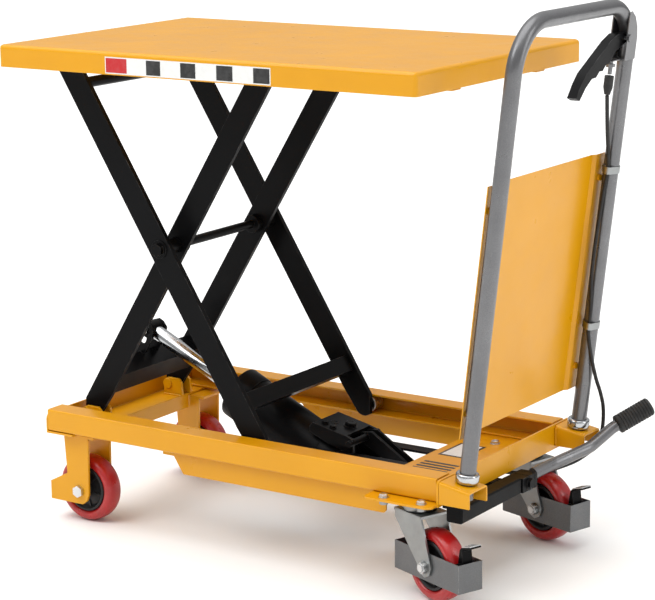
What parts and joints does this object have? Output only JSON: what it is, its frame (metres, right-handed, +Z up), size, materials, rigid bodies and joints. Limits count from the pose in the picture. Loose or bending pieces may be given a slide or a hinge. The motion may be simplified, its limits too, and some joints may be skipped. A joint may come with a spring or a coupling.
{
  "type": "scissor lift table",
  "caption": "Wheeled platform truck whose top rises on a single scissor worked by a foot pump, with a bent tube push handle, fixed front wheels and braked swivel casters.",
  "frame": {"origin": "centre of the bounding box on the floor", "axes": "+X towards the push handle, +Y to the operator's right, +Z up"},
  "size_m": [0.8354, 0.446, 0.7907],
  "materials": {
    "yellow_paint": "gloss powder coat",
    "black_paint": "satin black enamel",
    "grey_paint": "metallic grey powder coat",
    "zinc_plate": "zinc plated",
    "chrome_plate": "polished",
    "red_polyurethane": "cast polyurethane tread",
    "black_nylon": "moulded core",
    "black_rubber": "moulded rubber",
    "guard_sheet": "dark grey coat on sheet"
  },
  "bodies": {
    "base": {"base_rail_left": "yellow_paint", "base_rail_right": "yellow_paint", "front_cross_member": "yellow_paint", "rear_deck": "yellow_paint", "handle_socket_left": "yellow_paint", "handle_socket_right": "yellow_paint", "handle_collar_left": "chrome_plate", "handle_collar_right": "chrome_plate", "push_handle": "grey_paint", "guard_panel": "yellow_paint", "arm_clevis_left": "yellow_paint", "arm_clevis_right": "yellow_paint", "front_fork_left": "yellow_paint", "front_fork_right": "yellow_paint", "front_axle_left": "zinc_plate", "front_axle_right": "zinc_plate", "pump_housing": "black_paint", "rear_cross_bar": "black_paint", "release_bracket": "grey_paint", "release_cable": "black_rubber", "cable_boot": "black_rubber", "cable_clip_upper": "chrome_plate", "cable_clip_lower": "chrome_plate", "caster_plate_left": "zinc_plate", "caster_plate_right": "zinc_plate"},
    "inner_arms": {"inner_arm_left": "black_paint", "inner_arm_right": "black_paint", "inner_cross_member": "black_paint", "scissor_centre_shaft": "black_paint"},
    "outer_arms": {"outer_arm_left": "black_paint", "outer_arm_right": "black_paint", "outer_cross_beam": "black_paint", "outer_upper_tie": "black_paint"},
    "platform": {"platform_top": "yellow_paint", "roller_channel_left": "yellow_paint", "roller_channel_right": "yellow_paint"},
    "cylinder": {"pump_cylinder": "black_paint"},
    "piston": {"piston_rod": "chrome_plate"},
    "pedal": {"pedal_lever": "black_paint", "pedal_tube": "grey_paint", "pedal_grip": "black_rubber"},
    "release_lever_body": {"release_lever": "black_paint"},
    "front_wheel_left": {"front_tyre_left": "red_polyurethane", "front_hub_left": "black_nylon"},
    "caster_swivel_left": {"caster_fork_left": "zinc_plate", "caster_guard_left": "guard_sheet"},
    "caster_wheel_left": {"caster_tyre_left": "red_polyurethane", "caster_hub_left": "black_nylon"},
    "caster_brake_body_left": {"caster_brake_left": "black_paint"},
    "top_roller_body_left": {"top_roller_left": "zinc_plate"},
    "base_roller_body_left": {"base_roller_left": "zinc_plate"},
    "front_wheel_right": {"front_tyre_right": "red_polyurethane", "front_hub_right": "black_nylon"},
    "caster_swivel_right": {"caster_fork_right": "zinc_plate", "caster_guard_right": "guard_sheet"},
    "caster_wheel_right": {"caster_tyre_right": "red_polyurethane", "caster_hub_right": "black_nylon"},
    "caster_brake_body_right": {"caster_brake_right": "black_paint"},
    "top_roller_body_right": {"top_roller_right": "zinc_plate"},
    "base_roller_body_right": {"base_roller_right": "zinc_plate"}
  },
  "joints": [
    {"name": "lift", "type": "hinge", "parent": "base", "child": "inner_arms", "pos_m": [-0.36936, 0, 0.1575], "axis": [0, -1, 0], "range_deg": [-51.9, 0]},
    {"name": "scissor_fold", "type": "hinge", "parent": "inner_arms", "child": "outer_arms", "pos_m": [-0.20063, 0, 0.42911], "axis": [0, -1, 0], "range_deg": [0, 103.8]},
    {"name": "platform_level", "type": "hinge", "parent": "outer_arms", "child": "platform", "pos_m": [-0.36936, 0, 0.70071], "axis": [0, -1, 0], "range_deg": [-51.9, 0]},
    {"name": "cylinder_tilt", "type": "hinge", "parent": "base", "child": "cylinder", "pos_m": [0.03234, 0, 0.097], "axis": [0, -1, 0], "range_deg": [0, 6.86]},
    {"name": "piston_slide", "type": "slide", "parent": "cylinder", "child": "piston", "axis": [-0.9039, 0, 0.4277], "range_m": [-0.0925, 0]},
    {"name": "foot_pedal", "type": "hinge", "parent": "base", "child": "pedal", "pos_m": [0.05334, 0, 0.152], "axis": [0, -1, 0], "range_deg": [-7.5, 0], "stiffness_Nm_per_rad": 60, "springref_deg": 8.59},
    {"name": "release_squeeze", "type": "hinge", "parent": "base", "child": "release_lever_body", "pos_m": [0.3886, 0.1345, 0.735], "axis": [-0.9925, 0, 0.1221], "range_deg": [0, 16], "stiffness_Nm_per_rad": 0.6, "springref_deg": -17.19},
    {"name": "top_roller_spin_left", "type": "hinge", "parent": "inner_arms", "child": "top_roller_body_left", "pos_m": [-0.0319, -0.111, 0.70071], "axis": [0, 1, 0], "continuous": true},
    {"name": "base_roller_spin_left", "type": "hinge", "parent": "outer_arms", "child": "base_roller_body_left", "pos_m": [-0.0319, -0.157, 0.1575], "axis": [0, 1, 0], "continuous": true},
    {"name": "front_wheel_spin_left", "type": "hinge", "parent": "base", "child": "front_wheel_left", "pos_m": [-0.34726, -0.1368, 0.05], "axis": [0, 1, 0], "continuous": true},
    {"name": "caster_swivel_turn_left", "type": "hinge", "parent": "base", "child": "caster_swivel_left", "pos_m": [0.24133, -0.15, 0.125], "axis": [0, 0, 1], "continuous": true},
    {"name": "caster_wheel_spin_left", "type": "hinge", "parent": "caster_swivel_left", "child": "caster_wheel_left", "pos_m": [0.27775, -0.16398, 0.05], "axis": [0.3584, 0.9336, 0], "continuous": true},
    {"name": "caster_brake_press_left", "type": "hinge", "parent": "caster_swivel_left", "child": "caster_brake_body_left", "pos_m": [0.33236, -0.18494, 0.0645], "axis": [0.3584, 0.9336, 0], "range_deg": [0, 5]},
    {"name": "top_roller_spin_right", "type": "hinge", "parent": "inner_arms", "child": "top_roller_body_right", "pos_m": [-0.0319, 0.111, 0.70071], "axis": [0, 1, 0], "continuous": true},
    {"name": "base_roller_spin_right", "type": "hinge", "parent": "outer_arms", "child": "base_roller_body_right", "pos_m": [-0.0319, 0.157, 0.1575], "axis": [0, 1, 0], "continuous": true},
    {"name": "front_wheel_spin_right", "type": "hinge", "parent": "base", "child": "front_wheel_right", "pos_m": [-0.34726, 0.1368, 0.05], "axis": [0, 1, 0], "continuous": true},
    {"name": "caster_swivel_turn_right", "type": "hinge", "parent": "base", "child": "caster_swivel_right", "pos_m": [0.24133, 0.15, 0.125], "axis": [0, 0, 1], "continuous": true},
    {"name": "caster_wheel_spin_right", "type": "hinge", "parent": "caster_swivel_right", "child": "caster_wheel_right", "pos_m": [0.27863, 0.1386, 0.05], "axis": [0.2924, 0.9563, 0], "continuous": true},
    {"name": "caster_brake_press_right", "type": "hinge", "parent": "caster_swivel_right", "child": "caster_brake_body_right", "pos_m": [0.33458, 0.12149, 0.0645], "axis": [0.2924, 0.9563, 0], "range_deg": [0, 5]}
  ],
  "couplings": [
    {"joint": "scissor_fold", "follows": "lift", "ratio": -2},
    {"joint": "platform_level", "follows": "lift", "ratio": 1},
    {"joint": "cylinder_tilt", "follows": "lift", "ratio": -0.132},
    {"joint": "piston_slide", "follows": "lift", "m_per_rad": 0.102}
  ]
}
